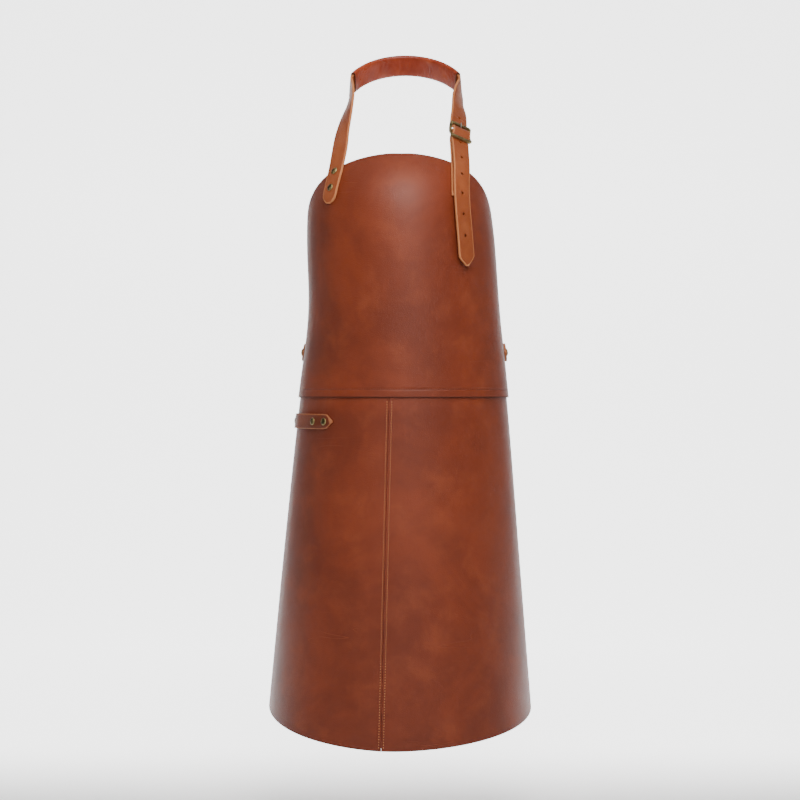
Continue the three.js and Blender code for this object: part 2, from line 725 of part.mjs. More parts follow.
addPiece('waist_strap_right', cut(
  strap(waistPath, 0, waistStop, STRAP_WIDTH, STRAP_THICKNESS, {
    startEnd: pointedEnd,
    stopEnd: pointedEnd,
    bulge: waistHole,
  }),
  [
    ...waistRivetPlaces.map((into) => holeAt(waistStation(waistStart + into, STRAP_ON_BIB), shankHole)),
    ...strapHoles(waistPath, waistHole, -WAIST_HOLES_ABOVE, WAIST_HOLES_BELOW),
    ...tongueWay(waistBuckle),
  ],
), strapLeather);

// The left strap lies under the tail and folds round the buckle's centre bar.
const foldLift = BAR_LIFT + STRAP_UNDER_BAR - BACK_PLY;
const leftPath = route([
  ...waistRun(leftStart, leftStart - 60, CHAPE_ON_BIB),
  ...waistRun(leftStart - 90, buckleArc + 40, foldLift),
  ...foldStations(waistBuckle),
]);
addPiece('waist_strap_left', cut(
  strap(leftPath, 0, leftPath.length, STRAP_WIDTH - 1, CHAPE_THICKNESS, {
    startEnd: pointedEnd,
    bulge: leftPath.length - FOLD_FROM_END,
  }),
  [
    ...waistRivetPlaces.map((into) => (
      holeAt(waistStation(leftStart - into, CHAPE_ON_BIB), shankHole, 8)
    )),
    ringSlot(waistBuckle),
  ],
), strapLeather);

addPiece('waist_buckle_frame', placeBuckle(buckleFrameGeometry(), waistBuckle), antiqueBrass);
addPiece('waist_buckle_tongue', placeBuckle(tongueGeometry(TONGUE_RADIUS, 0), waistBuckle), antiqueBrass);

// A leather keeper round the tail and the strap under it.
function keeperGeometry() {
  const inside = foldLift - CHAPE_THICKNESS / 2 - CLEARANCE;
  const outside = KEPT_STRAP + STRAP_THICKNESS / 2 + CLEARANCE;
  const halfHeight = STRAP_WIDTH / 2 + CLEARANCE + 0.3;
  const halfDepth = (outside - inside) / 2 + 0.4;
  const rim = new THREE.Shape(
    roundedOutline(halfHeight + KEEPER_THICKNESS, halfDepth + KEEPER_THICKNESS, 2, 2),
  );
  rim.holes.push(new THREE.Path(roundedOutline(halfHeight, halfDepth, 0.2, 1)));
  const blank = new THREE.ExtrudeGeometry(rim, { depth: 1, steps: 2, bevelEnabled: false });
  return shape(blank, (x, y, z) => {
    const s = buckleArc + KEEPER_OFFSET + (z - 0.5) * KEEPER_WIDTH;
    const frame = waistStation(s, (inside + outside) / 2 + y);
    return frame.point.addScaledVector(frame.up, x);
  });
}

addPiece('waist_keeper', keeperGeometry(), strapLeather);

const waistRivetFrames = { right: [], left: [] };
waistRivetPlaces.forEach((into, i) => {
  const right = waistStation(waistStart + into, 0);
  const left = waistStation(leftStart - into, 0);
  waistRivetFrames.right.push(right);
  waistRivetFrames.left.push(left);
  const rightRivet = rivetAt(right, BIB_INSIDE, STRAP_ON_BIB + STRAP_THICKNESS / 2);
  const leftRivet = rivetAt(left, BIB_INSIDE, CHAPE_OUTSIDE);
  addPiece(`waist_rivet_right_${i + 1}`, rightRivet, antiqueBrass);
  addPiece(`waist_rivet_left_${i + 1}`, leftRivet, antiqueBrass);
});

// ---- Towel loop at the hip ----

const LOOP_ON_SKIRT = SKIRT_OUTSIDE + CLEARANCE + TOWEL_LOOP_THICKNESS / 2;
const loopBack = TOWEL_LOOP_BACK_INSET - halfFlat(TOWEL_LOOP_Z);
const loopRivets = [
  TOWEL_LOOP_FRONT - TOWEL_RIVET_INSET,
  TOWEL_LOOP_FRONT - TOWEL_RIVET_INSET - TOWEL_RIVET_SPACING,
  loopBack + RIVET_CAP_RADIUS + 3,
];
const slackFrom = loopRivets[1] - 14;
const slackTo = loopRivets[2] + 14;
const loopStations = [];
for (let i = 0; i <= 24; i += 1) {
  const s = THREE.MathUtils.lerp(TOWEL_LOOP_FRONT, loopBack, i / 24);
  const share = THREE.MathUtils.clamp((s - slackFrom) / (slackTo - slackFrom), 0, 1);
  const slack = TOWEL_LOOP_SLACK * Math.sin(share * Math.PI) ** 2;
  loopStations.push(formFrame(s, TOWEL_LOOP_Z, LOOP_ON_SKIRT + slack));
}
const loopPath = route(loopStations);
addPiece('towel_loop', cut(
  strap(loopPath, 0, loopPath.length, TOWEL_LOOP_WIDTH, TOWEL_LOOP_THICKNESS, {
    startEnd: pointedEnd,
    stopEnd: roundEnd(TOWEL_LOOP_WIDTH),
  }),
  loopRivets.map((s) => holeAt(formFrame(s, TOWEL_LOOP_Z, LOOP_ON_SKIRT), shankHole)),
), strapLeather);
loopRivets.forEach((s, i) => {
  const outside = LOOP_ON_SKIRT + TOWEL_LOOP_THICKNESS / 2;
  const rivet = rivetAt(formFrame(s, TOWEL_LOOP_Z), SKIRT_INSIDE, outside);
  addPiece(`towel_loop_rivet_${i + 1}`, rivet, antiqueBrass);
});

// ---- Panels ----

// The bib's top is a flattened arch that runs down into the side edges.
const shoulderZ = BIB_TOP_Z - ARMHOLE_DEPTH;
const bib = panel(42, 13, BIB_INSIDE, PANEL_THICKNESS, (u, v) => {
  const across = 2 * u - 1;
  const arch = (1 - Math.abs(across) ** ARMHOLE_ROUNDNESS) ** (1 / ARMHOLE_ROUNDNESS);
  const top = shoulderZ + ARMHOLE_DEPTH * (Number.isFinite(arch) ? arch : 0);
  const height = THREE.MathUtils.lerp(WAIST_SEAM_Z, top, 1 - (1 - v) ** 1.5);
  return { s: across * halfFlat(height), height };
});
addPiece('bib_panel', cut(bib, [
  ...neckRivets,
  ...chapeRivets,
  ...waistRivetFrames.right,
  ...waistRivetFrames.left,
].map((frame) => holeAt(frame, shankHole, 26))), bodyLeather);

function seamArc(z) {
  const share = (z - HEM_Z) / (WAIST_SEAM_Z - HEM_Z);
  return THREE.MathUtils.lerp(SEAM_OFFSET_HEM, SEAM_OFFSET_WAIST, share);
}

const SKIRT_COLUMNS = 25;
const SKIRT_ROWS = 6;

// One skirt panel, from the seam to the side edge on side -1 or +1.
function skirtPanel(side) {
  const cornerColumns = 4;
  const columns = SKIRT_COLUMNS;
  return (u, v) => {
    const column = Math.round((side > 0 ? u : 1 - u) * columns);
    const seamToCorner = HEM_HALF_FLAT - HEM_CORNER;
    let reach = (column / (columns - cornerColumns)) * seamToCorner;
    let corner = 0;
    if (column > columns - cornerColumns) {
      const angle = ((column - columns + cornerColumns) / cornerColumns) * (Math.PI / 2);
      reach = seamToCorner + HEM_CORNER * Math.sin(angle);
      corner = HEM_CORNER * (1 - Math.cos(angle));
    }
    const share = reach / HEM_HALF_FLAT;
    const fromLowest = Math.abs(side * share - HEM_LOW_POINT / HEM_HALF_FLAT);
    const bottom = HEM_Z + HEM_RISE * fromLowest ** HEM_ROUNDNESS + corner;
    const height = THREE.MathUtils.lerp(bottom, WAIST_SEAM_Z + LAP, v);
    const seam = seamArc(height) + (side * CLEARANCE) / 2;
    return { s: THREE.MathUtils.lerp(seam, side * halfFlat(height), share), height };
  };
}

const skirtLeft = panel(SKIRT_COLUMNS, SKIRT_ROWS, SKIRT_INSIDE, PANEL_THICKNESS, skirtPanel(-1));
const skirtRight = panel(SKIRT_COLUMNS, SKIRT_ROWS, SKIRT_INSIDE, PANEL_THICKNESS, skirtPanel(1));
const loopHoles = loopRivets.map((s) => holeAt(formFrame(s, TOWEL_LOOP_Z, 1), shankHole));
addPiece('skirt_panel_left', cut(skirtLeft, loopHoles), bodyLeather);
addPiece('skirt_panel_right', skirtRight, bodyLeather);

// A thin strip behind the butted panels carries both rows of the seam's stitches.
const stripInside = SKIRT_INSIDE - CLEARANCE - SEAM_STRIP_THICKNESS;
addPiece('seam_backing_strip', panel(2, 12, stripInside, SEAM_STRIP_THICKNESS, (u, v) => {
  const height = THREE.MathUtils.lerp(HEM_Z + 4, WAIST_SEAM_Z + LAP - 2, v);
  return { s: seamArc(height) + (u - 0.5) * SEAM_STRIP_WIDTH, height };
}), bodyLeather);

export default group;
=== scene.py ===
import json
import math

import bmesh
import bpy
from mathutils import Matrix, Vector, kdtree
from mathutils.bvhtree import BVHTree


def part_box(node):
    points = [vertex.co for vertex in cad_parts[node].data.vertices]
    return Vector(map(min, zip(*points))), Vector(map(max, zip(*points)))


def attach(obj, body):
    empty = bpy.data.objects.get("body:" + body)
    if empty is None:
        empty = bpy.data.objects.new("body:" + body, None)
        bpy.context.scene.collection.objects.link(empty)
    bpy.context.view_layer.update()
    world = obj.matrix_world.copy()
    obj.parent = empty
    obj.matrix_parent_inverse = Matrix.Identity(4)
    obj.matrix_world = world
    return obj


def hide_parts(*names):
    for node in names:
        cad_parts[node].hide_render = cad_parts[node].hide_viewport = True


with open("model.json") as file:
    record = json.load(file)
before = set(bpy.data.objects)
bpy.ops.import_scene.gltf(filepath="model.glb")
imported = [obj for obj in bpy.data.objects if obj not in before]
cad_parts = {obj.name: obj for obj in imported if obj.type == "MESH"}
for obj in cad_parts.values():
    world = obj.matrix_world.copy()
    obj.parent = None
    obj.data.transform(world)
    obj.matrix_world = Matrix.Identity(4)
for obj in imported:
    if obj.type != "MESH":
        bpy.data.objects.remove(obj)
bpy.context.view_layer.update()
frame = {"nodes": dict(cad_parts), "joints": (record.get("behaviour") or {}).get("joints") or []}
bpy.ops.object.select_all(action="DESELECT")


# ---- Body leather ----
# The bib and skirt are cut from one kind of hide: a cognac pull-up side, waxed and buffed,
# whose colour clouds where it has been stretched and whose face shows fine pores.

class Tone:
    """A value on its way through a finish, which can be added to, scaled and so on."""

    def __init__(self, finish, socket):
        self.finish = finish
        self.socket = socket

    def worked(self, how, first, second):
        return self.finish.add("ShaderNodeMath", {"operation": how}, {0: first, 1: second})

    def __add__(self, other):
        return self.worked("ADD", self, other)

    def __sub__(self, other):
        return self.worked("SUBTRACT", self, other)

    def __rsub__(self, other):
        return self.worked("SUBTRACT", other, self)

    def __mul__(self, other):
        return self.worked("MULTIPLY", self, other)

    __radd__ = __add__

    def away_from(self, middle):
        return self.worked("ABSOLUTE", self - middle, 0.0)

    def between(self, low, high):
        """0 below low, 1 above high, and a smooth rise from one to the other."""
        settings = {"interpolation_type": "SMOOTHSTEP"}
        inputs = {"Value": self, "From Min": low, "From Max": high}
        return self.finish.add("ShaderNodeMapRange", settings, inputs)


class Finish:
    """A material under construction."""

    def __init__(self, name):
        self.material = bpy.data.materials.new(name)
        self.material.use_nodes = True
        self.tree = self.material.node_tree
        self.tree.nodes.clear()
        self.place = self.add("ShaderNodeTexCoord", {}, {}, "Object")

    def add(self, kind, settings, inputs, output=0):
        node = self.tree.nodes.new(kind)
        for name, value in settings.items():
            setattr(node, name, value)
        for name, value in inputs.items():
            if isinstance(value, Tone):
                self.tree.links.new(value.socket, node.inputs[name])
            else:
                node.inputs[name].default_value = value
        return Tone(self, node.outputs[output] if node.outputs else None)

    def noise(self, scale, detail=4.0, roughness=0.55, place=None, distortion=0.0):
        inputs = {
            "Vector": place or self.place,
            "Scale": scale,
            "Detail": detail,
            "Roughness": roughness,
            "Distortion": distortion,
        }
        return self.add("ShaderNodeTexNoise", {}, inputs, "Fac")

    def stretched(self, scale, turn=(0.0, 0.0, 0.0)):
        inputs = {"Vector": self.place, "Scale": scale, "Rotation": turn}
        return self.add("ShaderNodeMapping", {}, inputs)

    def blend(self, share, first, second):
        """Goes from the first colour to the second. A Mix node has a set of sockets for each
        kind of value, so those for colour are reached by number."""
        node = self.tree.nodes.new("ShaderNodeMix")
        node.data_type = "RGBA"
        for index, value in ((0, share), (6, first), (7, second)):
            if isinstance(value, Tone):
                self.tree.links.new(value.socket, node.inputs[index])
            else:
                node.inputs[index].default_value = value
        return Tone(self, node.outputs[2])

    def attribute(self, name):
        return self.add("ShaderNodeAttribute", {"attribute_name": name}, {}, "Fac")

    def part(self, axis):
        return self.add("ShaderNodeSeparateXYZ", {}, {0: self.place}, axis)

    def close(self, height, depth, **surface):
        """Joins the surface's values up and returns the material."""
        bump = self.add("ShaderNodeBump", {}, {"Height": height, "Distance": depth, "Strength": 1.0})
        values = {name.replace("_", " "): value for name, value in surface.items()}
        values["Normal"] = bump
        shader = self.add("ShaderNodeBsdfPrincipled", {}, values)
        self.add("ShaderNodeOutputMaterial", {}, {"Surface": shader})
        return self.material


def tint(red, green, blue):
    """A colour given as an eye sees it, from 0 to 255, as light adds it up."""
    parts = []
    for value in (red, green, blue):
        value /= 255
        parts.append(value / 12.92 if value <= 0.04045 else ((value + 0.055) / 1.055) ** 2.4)
    return (*parts, 1.0)


LAP_ROW_HEIGHT = -0.4592


def hide_finish(name, deep, middle, light, cut_edge, gloss, lap_groove=False, creases=False):
    """Waxed leather: clouds of tone, fine pores, a few scratches and a dressed cut edge."""
    finish = Finish(name)
    rim = finish.attribute("rim")
    clouds = finish.noise(7.0, 5.0, 0.6, distortion=0.6)
    patches = finish.noise(22.0, 4.0, 0.6, distortion=0.3)
    fibre = finish.noise(160.0, 3.0, 0.6)
    colour = finish.blend(clouds.between(0.34, 0.66), deep, middle)
    colour = finish.blend(patches.between(0.45, 0.8) * 0.55, colour, light)
    colour = finish.blend(fibre.between(0.5, 0.75) * 0.18, colour, deep)

    marks = None
    for scale, turn, seed in (((1.0, 1.0, 9.0), 0.5, 0.5), ((1.0, 1.0, 11.0), -0.62, 0.44)):
        along = finish.stretched(scale, (0.0, turn, 0.0))
        line = finish.noise(5.5, 1.0, 0.4, along).away_from(seed)
        where = finish.noise(9.0, 1.0, 0.5, finish.stretched((1.0, 1.0, 1.0), (0.3, turn, 1.0)))
        scratch = (1.0 - line.between(0.0008, 0.004)) * where.between(0.62, 0.7)
        marks = scratch if marks is None else marks + scratch
    colour = finish.blend(marks * 0.5, colour, light)

    edge = 1.0 - rim.between(0.0006, 0.0016)
    near_edge = 1.0 - rim.between(0.002, 0.012)
    colour = finish.blend(near_edge * 0.3, colour, deep)
    colour = finish.blend(edge * 0.85, colour, cut_edge)

    pores = finish.add(
        "ShaderNodeTexVoronoi",
        {"feature": "DISTANCE_TO_EDGE"},
        {"Vector": finish.place, "Scale": 620.0, "Randomness": 1.0},
        "Distance",
    )
    height = pores.between(0.0, 0.35) * 0.16 + fibre * 0.1 + patches * 0.5 - marks * 0.35
    if lap_groove:
        groove = 1.0 - finish.part("Z").away_from(LAP_ROW_HEIGHT).between(0.0006, 0.0026)
        height = height - groove * 0.6
    if creases:
        folds = finish.noise(1.0, 3.0, 0.6, finish.stretched((34.0, 16.0, 7.0)), 0.5)
        height = height + folds.between(0.38, 0.62) * 1.8
    rough = gloss + patches * 0.16 + marks * 0.12 + edge * 0.2
    return finish.close(
        height,
        0.0006,
        Base_Color=colour,
        Roughness=rough,
        Specular_IOR_Level=0.28,
        Coat_Weight=0.05,
        Coat_Roughness=0.3,
    )


body_leather = hide_finish(
    "body_leather",
    tint(102, 41, 21),
    tint(120, 50, 25),
    tint(134, 62, 34),
    tint(44, 18, 10),
    0.39,
    lap_groove=True,
)


SHARP_EDGE = math.radians(52)
SMOOTH_EDGE = math.radians(42)
PUNCHED_EDGE = 0.0018
EDGE_POINT_SPACING = 0.001
LONG_EDGE = 0.006


def leather_piece(node, material, levels, bevel=0.0004, name=None, joined_on=None):
    """Takes a cut piece, rounds its cut edges, smooths its curves and notes how far each
    point lies from an edge, so that the finish can dress the edges. Where joined_on is
    true of an edge's ends the leather carries on into its neighbour, and isn't dressed."""
    source = frame["nodes"][node]
    piece = bpy.data.objects.new(name or node + "_leather", source.data.copy())
    bpy.context.collection.objects.link(piece)
    bpy.ops.object.select_all(action="DESELECT")
    bpy.context.view_layer.objects.active = piece
    piece.select_set(True)
    bpy.ops.object.mode_set(mode="EDIT")
    bpy.ops.mesh.select_all(action="SELECT")
    bpy.ops.mesh.remove_doubles(threshold=0.00001)
    bpy.ops.mesh.tris_convert_to_quads(face_threshold=0.7, shape_threshold=1.4)
    bpy.ops.object.mode_set(mode="OBJECT")

    rough = bmesh.new()
    rough.from_mesh(piece.data)
    points = []
    for edge in rough.edges:
        if len(edge.link_faces) == 2 and edge.calc_face_angle(0.0) > SHARP_EDGE:
            first, last = (corner.co for corner in edge.verts)
            if (last - first).length < PUNCHED_EDGE and "strap" in node:
                continue  # the rim of a punched hole, which stays undressed
            if joined_on and joined_on(first) and joined_on(last):
                continue
            pieces = max(1, math.ceil((last - first).length / EDGE_POINT_SPACING))
            points += [first.lerp(last, share / pieces) for share in range(pieces + 1)]
    rough.free()
    edges = kdtree.KDTree(len(points))
    for index, point in enumerate(points):
        edges.insert(point, index)
    edges.balance()

    rounded = piece.modifiers.new("rounded_edges", "BEVEL")
    rounded.limit_method = "ANGLE"
    rounded.angle_limit = SHARP_EDGE
    rounded.width = bevel
    rounded.segments = 2
    bpy.ops.object.modifier_apply(modifier=rounded.name)
    if not levels:
        finer = bmesh.new()
        finer.from_mesh(piece.data)
        wide = [edge for edge in finer.edges if edge.calc_length() > LONG_EDGE]
        bmesh.ops.subdivide_edges(finer, edges=wide, cuts=3, use_grid_fill=True)
        finer.to_mesh(piece.data)
        finer.free()
    else:
        smooth = piece.modifiers.new("smooth_curves", "SUBSURF")
        smooth.levels = levels
        smooth.render_levels = levels
        bpy.ops.object.modifier_apply(modifier=smooth.name)
    bpy.ops.object.shade_smooth_by_angle(angle=SMOOTH_EDGE)

    rim = piece.data.attributes.new("rim", "FLOAT", "POINT")
    rim.data.foreach_set("value", [edges.find(corner.co)[2] for corner in piece.data.vertices])
    piece.data.materials.clear()
    piece.data.materials.append(material)
    piece.select_set(False)
    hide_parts(node)
    return piece


# ---- Bib ----
# One broad hide panel with hollow armholes. It curves round the chest and its lower edge
# laps over the skirt, where it is sewn down with a row of tone-on-tone stitches.

flesh = Finish("flesh_side")
nap = flesh.noise(340.0, 5.0, 0.7)
drift = flesh.noise(14.0, 4.0, 0.6)
suede = flesh.blend(drift.between(0.35, 0.65), tint(118, 66, 42), tint(140, 86, 58))
suede = flesh.blend(nap.between(0.35, 0.7) * 0.5, suede, tint(160, 106, 76))
flesh_side = flesh.close(nap + drift * 0.4, 0.0007, Base_Color=suede, Roughness=nap * 0.1 + 0.82)


FORM_MIDDLE_X = -0.007
FORM_MIDDLE_Y = -0.06


def line_with_flesh(panel):
    """The side that faces the wearer is the hide's brushed flesh side."""
    panel.data.materials.append(flesh_side)
    for face in panel.data.polygons:
        outward = Vector((face.center.x - FORM_MIDDLE_X, face.center.y - FORM_MIDDLE_Y, 0.0))
        if face.normal.dot(outward.normalized()) < -0.5:
            face.material_index = 1


bib = leather_piece("bib_panel", body_leather, 2)
line_with_flesh(bib)
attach(bib, "apron")


# ---- Skirt ----
# Two hide panels, left and right of a seam a little off centre. They hang from under the
# bib's lower edge and round off towards the hem, which bows down in the middle.

def on_seam(point):
    """Where the two panels meet, below the lap. The seam runs a little left of the middle."""
    return -0.036 < point.x < -0.016 and point.z < -0.44


for side, width, area in (("left", 0.284, 0.1206), ("right", 0.332, 0.139)):
    panel = leather_piece("skirt_panel_" + side, body_leather, 2, joined_on=on_seam)
    line_with_flesh(panel)
    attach(panel, "apron")

backing = leather_piece("seam_backing_strip", body_leather, 1)
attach(backing, "apron")


# ---- Topstitching ----
# Waxed thread, sewn by machine: two light rows hold the skirt seam down on its backing
# strip, and one darker row closes the lap at the bib's lower edge. Dark dots in the
# gaps of the seam rows are painted shade in the needle holes.

bpy.ops.mesh.primitive_uv_sphere_add(segments=8, ring_count=5, radius=0.5)
one_stitch = bpy.context.object
bpy.ops.object.mode_set(mode="EDIT")
bpy.ops.mesh.select_all(action="SELECT")
bpy.ops.transform.resize(value=(1.0, 0.9, 0.8))
bpy.ops.object.mode_set(mode="OBJECT")
one_stitch.select_set(False)


def thread_finish(name, colour, shade):
    finish = Finish(name)
    twist = finish.noise(2200.0, 2.0, 0.5)
    wear = finish.noise(60.0, 2.0, 0.5)
    tone = finish.blend(twist.between(0.35, 0.65) * 0.6, colour, shade)
    return finish.close(twist, 0.0002, Base_Color=tone, Roughness=wear * 0.2 + 0.5)


def stitch_row(name, leather, places, thread, width, share=0.62):
    """Lays one stitch between each place and the next, where the leather's face is."""
    tree = BVHTree.FromObject(leather, bpy.context.evaluated_depsgraph_get())
    found = []
    for x, z in places:
        point, normal, _, _ = tree.ray_cast(Vector((x, -1.0, z)), Vector((0.0, 1.0, 0.0)))
        found.append((point, normal))
    row = bmesh.new()
    for (first, out), (last, _) in zip(found, found[1:]):
        if first is None or last is None or (last - first).length > 0.02:
            continue  # past the leather's edge
        along = (last - first).normalized()
        across = out.cross(along).normalized()
        face = along.cross(across)
        length = (last - first).length * share
        turn = Matrix((along * length, across * width, face * width * 0.7)).transposed()
        before = len(row.verts)
        row.from_mesh(one_stitch.data)
        row.verts.ensure_lookup_table()
        middle = first.lerp(last, 0.5) + face * width * 0.12
        for corner in row.verts[before:]:
            corner.co = turn @ corner.co + middle
    sewn = bpy.data.objects.new(name, bpy.data.meshes.new(name))
    bpy.context.collection.objects.link(sewn)
    bmesh.ops.recalc_face_normals(row, faces=row.faces)
    row.to_mesh(sewn.data)
    row.free()
    sewn.data.shade_smooth()
    sewn.data.materials.append(thread)
    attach(sewn, "apron")
    return sewn


pale_thread = thread_finish("pale_thread", tint(200, 128, 80), tint(158, 92, 52))
# This dark finish serves both the lap row's thread and the painted shade in the seam's needle holes.
dark_thread_and_hole_shade = thread_finish("dark_thread_and_hole_shade", tint(92, 38, 22), tint(48, 18, 10))


def seam_side(height, side):
    """Where the seam edge of a skirt panel lies near a height, from its points within 3 cm."""
    corners = frame["nodes"]["skirt_panel_" + side].data.vertices
    level = [corner.co.x for corner in corners if abs(corner.co.z - height) < 0.03]
    return max(level) if side == "left" else min(level)


SEAM_TOP = -0.474
SEAM_LOW = -0.92
PAST_HEM = -0.9355
STITCH_PITCH = 0.0035
STITCH_WIDTH = 0.0013
ROW_OFFSET = 0.0031
middle_top = (seam_side(SEAM_TOP, "left") + seam_side(SEAM_TOP, "right")) / 2
middle_low = (seam_side(SEAM_LOW, "left") + seam_side(SEAM_LOW, "right")) / 2
for side, offset in (("left", -ROW_OFFSET), ("right", ROW_OFFSET)):
    count = int((SEAM_TOP - PAST_HEM) / STITCH_PITCH)
    places = []
    for step in range(count + 1):
        height = SEAM_TOP - step * STITCH_PITCH
        share = (height - SEAM_TOP) / (SEAM_LOW - SEAM_TOP)
        places.append((middle_top + (middle_low - middle_top) * share + offset, height))
    panel = bpy.data.objects["skirt_panel_" + side + "_leather"]
    stitch_row("seam_stitches_" + side, panel, places, pale_thread, STITCH_WIDTH)
    # Dark dots between the stitches: painted shade inside the needle holes, in the dark thread's
    # finish.
    holes = [(x, height - STITCH_PITCH / 2) for x, height in places]
    stitch_row("seam_needle_hole_shade_" + side, panel, holes, dark_thread_and_hole_shade, 0.001, 0.3)

LAP_PITCH = 0.0032
bib_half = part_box("bib_panel")[1][0] - 0.002
across_bib = [step * LAP_PITCH for step in range(-50, 51) if abs(step * LAP_PITCH) < bib_half]
lap_places = [(x, LAP_ROW_HEIGHT) for x in across_bib]
stitch_row("lap_stitches", bib, lap_places, dark_thread_and_hole_shade, 0.0009)
bpy.data.objects.remove(one_stitch)


# ---- Neck strap ----
# Bridle leather, thicker and lighter than the body, with bevelled and burnished edges. It
# runs from two rivets on the bib, round the neck, and through the buckle to a free end.

strap_leather = hide_finish(
    "strap_leather",
    tint(126, 60, 28),
    tint(150, 77, 40),
    tint(166, 94, 54),
    tint(194, 124, 80),
    0.42,
)


STRAP_RUN = Vector((0.0297, -0.6923, -0.721))


def under_buckle(point):
    """Where the strap flexes, just below the buckle, and its free end begins."""
    joint = next(each for each in frame["joints"] if each["name"] == "neck_strap_end_lift")
    return abs((point - Vector(joint["pos_m"])).dot(STRAP_RUN)) < 0.0012


neck_strap = leather_piece("neck_strap", strap_leather, 0, 0.0005, joined_on=under_buckle)
free_end = leather_piece("neck_strap_tail", strap_leather, 0, 0.0005, joined_on=under_buckle)
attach(neck_strap, "apron")
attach(free_end, "neck_strap_end")


def ease_off(piece, neighbour, reach, step):
    """Wears a piece away where it runs closest to its neighbour, so that it slides free."""
    tree = BVHTree.FromObject(neighbour, bpy.context.evaluated_depsgraph_get())
    for corner in piece.data.vertices:
        near = tree.find_nearest(corner.co, reach)[0]
        if near is not None:
            corner.co += (corner.co - near).normalized() * step


# ---- Neck sleeve ----
# A strip of the body leather folded round the strap, so that the neck rests on something
# soft. The wax shines where it is rubbed, and short creases run across the fold.

sleeve_leather = hide_finish(
    "sleeve_leather",
    tint(116, 38, 22),
    tint(164, 68, 36),
    tint(186, 90, 52),
    tint(70, 38, 18),
    0.21,
    creases=True,
)
sleeve = leather_piece("neck_sleeve", sleeve_leather, 2)
ease_off(sleeve, neck_strap, reach=0.0014, step=0.0005)
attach(sleeve, "sliding_sleeve")


# ---- Buckle chape, waist straps and keeper ----
# Strips of strap leather: a short one folded round the neck buckle's bar, two
# that wrap the waist from the bib's sides, and a small band that holds the end down.
# The waist straps and the band are drawn darker than the chape: painted shade, where
# they turn round the sides into shadow.

# A darker copy of the strap leather: painted shade on the waist straps and keeper, and the towel
# loop's own darker tone.
dark_and_shaded_leather = hide_finish(
    "dark_and_shaded_leather",
    tint(98, 44, 24),
    tint(126, 60, 34),
    tint(144, 78, 48),
    tint(166, 102, 66),
    0.4,
)
for node, body, leather in (
    ("neck_buckle_chape", "apron", strap_leather),
    ("waist_strap_right", "apron", dark_and_shaded_leather),
    ("waist_strap_left", "apron", dark_and_shaded_leather),
    ("waist_keeper", "sliding_keeper", dark_and_shaded_leather),
):
    strip = leather_piece(node, leather, 0)
    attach(strip, body)


# ---- Towel loop ----
# A darker strip of strap leather riveted flat to the hip at three points, with a pointed
# end towards the middle. A cloth tucks behind it.

towel_loop = leather_piece("towel_loop", dark_and_shaded_leather, 0, 0.0005)
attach(towel_loop, "apron")


# ---- Buckles and tongues ----
# Cast brass with an antique finish: dark in the hollows and rubbed bright on the edges.
# Each tongue is a bent wire that turns on the buckle's centre bar.

def brass_finish(name, dark, bright, gloss):
    finish = Finish(name)
    patina = finish.noise(190.0, 4.0, 0.6)
    speckle = finish.noise(900.0, 2.0, 0.5)
    rubbed = 1.0 - finish.attribute("rim").between(0.0002, 0.0012)
    colour = finish.blend(patina.between(0.4, 0.7), dark, bright)
    colour = finish.blend(rubbed * 0.55, colour, bright)
    height = patina * 0.4 + speckle * 0.2
    rough = gloss + patina * 0.22 - rubbed * 0.08
    return finish.close(height, 0.0001, Base_Color=colour, Roughness=rough, Metallic=0.95)


antique_brass = brass_finish("antique_brass", tint(76, 68, 44), tint(164, 146, 100), 0.34)
worn_steel = brass_finish("worn_tongue", tint(150, 140, 120), tint(214, 208, 196), 0.18)
for node, body, metal in (
    ("neck_buckle_frame", "neck_buckle", antique_brass),
    ("neck_buckle_tongue", "neck_tongue", worn_steel),
    ("waist_buckle_frame", "waist_buckle", antique_brass),
    ("waist_buckle_tongue", "waist_tongue", worn_steel),
):
    fitting = leather_piece(node, metal, 0, 0.0006, node + "_metal")
    if node == "neck_buckle_frame":
        ease_off(fitting, neck_strap, reach=0.0007, step=0.0003)
    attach(fitting, body)


# ---- Rivets ----
# Two-part brass rivets, set by hand: a domed cap outside, a tube through the leather and
# a flat cap inside. One is modelled and copied to each place.

RIVET_CAP_RADIUS = 0.005
RIVET_CAP_HEIGHT = 0.002
RIVET_BACK = 0.0008
RIVET_BACK_RADIUS = 0.0045
RIVET_POST_RADIUS = 0.0019
MODEL_REACH = 0.006
bpy.ops.mesh.primitive_uv_sphere_add(segments=40, ring_count=20, radius=RIVET_CAP_RADIUS)
rivet = bpy.context.object
rivet.name = "rivet"
bpy.ops.object.mode_set(mode="EDIT")
bpy.ops.mesh.select_all(action="SELECT")
bpy.ops.transform.resize(value=(1.0, 1.0, RIVET_CAP_HEIGHT / RIVET_CAP_RADIUS))
bpy.ops.mesh.bisect(
    plane_co=(0.0, 0.0, 0.0001), plane_no=(0.0, 0.0, 1.0), use_fill=True, clear_inner=True
)
bpy.ops.mesh.select_all(action="DESELECT")
bpy.ops.mesh.primitive_cylinder_add(
    vertices=40,
    radius=RIVET_BACK_RADIUS,
    depth=RIVET_BACK,
    location=(0.0, 0.0, -MODEL_REACH - RIVET_BACK / 2),
)
bpy.ops.mesh.select_all(action="DESELECT")
bpy.ops.mesh.primitive_cylinder_add(
    vertices=24,
    radius=RIVET_POST_RADIUS,
    depth=MODEL_REACH,
    location=(0.0, 0.0, -MODEL_REACH / 2),
)
bpy.ops.object.mode_set(mode="OBJECT")
softened = rivet.modifiers.new("softened", "BEVEL")
softened.limit_method = "ANGLE"
softened.angle_limit = math.radians(40)
softened.width = 0.0003
softened.segments = 3
bpy.ops.object.modifier_apply(modifier=softened.name)
bpy.ops.object.shade_smooth_by_angle(angle=math.radians(45))
edge_note = rivet.data.attributes.new("rim", "FLOAT", "POINT")
edge_note.data.foreach_set(
    "value",
    [RIVET_CAP_RADIUS - math.hypot(corner.co.x, corner.co.y) for corner in rivet.data.vertices],
)
rivet.data.materials.append(antique_brass)
rivet.select_set(False)

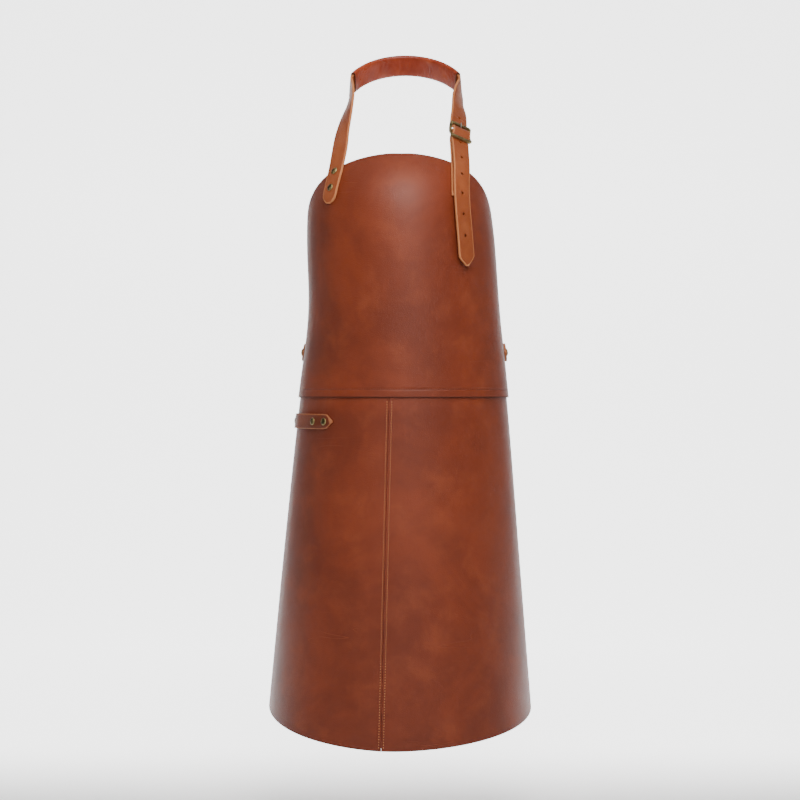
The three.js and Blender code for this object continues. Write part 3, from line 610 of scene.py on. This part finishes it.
for node in sorted(frame["nodes"]):
    if "rivet" not in node:
        continue
    blank = bmesh.new()
    blank.from_mesh(frame["nodes"][node].data)
    bmesh.ops.remove_doubles(blank, verts=blank.verts, dist=0.00001)
    poles = sorted(blank.verts, key=lambda corner: -len(corner.link_edges))[:2]
    poles.sort(key=lambda corner: sum(edge.calc_length() for edge in corner.link_edges))
    cap, back = (corner.co.copy() for corner in poles)
    blank.free()
    out = (cap - back).normalized()
    reach = (cap - back).length - RIVET_CAP_HEIGHT - RIVET_BACK
    set_rivet = bpy.data.objects.new(node + "_set", rivet.data.copy())
    bpy.context.collection.objects.link(set_rivet)
    turn = out.to_track_quat("Z", "Y").to_matrix()
    seat = cap - out * RIVET_CAP_HEIGHT
    for corner in set_rivet.data.vertices:
        if corner.co.z < -MODEL_REACH / 2:
            corner.co.z += MODEL_REACH - reach
        corner.co = turn @ corner.co + seat
    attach(set_rivet, "apron")
    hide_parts(node)
bpy.data.objects.remove(rivet)


# ---- Studio ----
# A plain pale sweep behind and under the apron, a large soft light in front and a cooler
# one behind. The sweep glows where it stands straight behind the apron, so it stays pale.

SWEEP_FLOOR = -1.06
bpy.ops.mesh.primitive_plane_add(size=1.0, location=(0.0, 0.0, SWEEP_FLOOR))
sweep = bpy.context.object
sweep.name = "sweep"
bpy.ops.object.mode_set(mode="EDIT")
bpy.ops.mesh.select_all(action="SELECT")
bpy.ops.transform.resize(value=(14.0, 7.0, 1.0))
bpy.ops.transform.translate(value=(0.0, -0.7, 0.0))
bpy.ops.object.mode_set(mode="OBJECT")
for edge in sweep.data.edges:
    edge.select = all(sweep.data.vertices[index].co.y > 1.0 for index in edge.vertices)
bpy.ops.object.mode_set(mode="EDIT")
bpy.context.tool_settings.mesh_select_mode = (False, True, False)
bpy.ops.mesh.extrude_region_move(TRANSFORM_OT_translate={"value": (0.0, 0.0, 6.0)})
bpy.ops.object.mode_set(mode="OBJECT")
curve = sweep.modifiers.new("curve", "BEVEL")
curve.width = 1.2
curve.segments = 12
bpy.ops.object.modifier_apply(modifier=curve.name)
bpy.ops.object.shade_smooth()
paper = Finish("pale_paper")
aside = paper.part("X").away_from(0.0).between(1.2, 1.7)
above = paper.part("Z").between(1.9, 2.4)
behind = paper.part("Y").between(-0.1, 0.5) * (1.0 - aside) * (1.0 - above)
glow = paper.blend(behind, (0.0, 0.0, 0.0, 1.0), (1.0, 1.0, 1.0, 1.0))
sweep.data.materials.append(
    paper.close(
        behind,
        0.0,
        Base_Color=(0.88, 0.88, 0.88, 1.0),
        Roughness=0.9,
        Specular_IOR_Level=0.1,
        Emission_Color=glow,
        Emission_Strength=2.9,
    )
)

room = bpy.data.worlds.new("soft_room")
room.use_nodes = True
room.node_tree.nodes["Background"].inputs["Color"].default_value = (0.93, 0.96, 1.0, 1.0)
room.node_tree.nodes["Background"].inputs["Strength"].default_value = 0.07
bpy.context.scene.world = room

for name, place, aim, power, size, colour in (
    ("front_softbox", (0.16, -1.36, 0.52), (0.02, -0.2, -0.34), 33.0, (0.8, 1.4), (1.0, 0.98, 0.95)),
    ("rear_softbox", (0.0, 1.9, 0.9), (0.0, 0.0, -0.4), 14.0, (1.2, 1.2), (0.95, 0.97, 1.0)),
):
    lamp = bpy.data.lights.new(name, "AREA")
    lamp.energy = power
    lamp.shape = "RECTANGLE"
    lamp.size, lamp.size_y = size
    lamp.color = colour
    holder = bpy.data.objects.new(name, lamp)
    bpy.context.collection.objects.link(holder)
    holder.location = place
    holder.rotation_euler = (Vector(aim) - Vector(place)).to_track_quat("-Z", "Y").to_euler()

lens = bpy.data.cameras.new("camera")
lens.lens = 76.15
lens.sensor_width = 36.0
camera = bpy.data.objects.new("camera", lens)
bpy.context.collection.objects.link(camera)
camera.location = (-0.0078, -2.406, -0.4732)
camera.rotation_euler = (math.radians(90), 0.0, 0.0)
bpy.context.scene.camera = camera
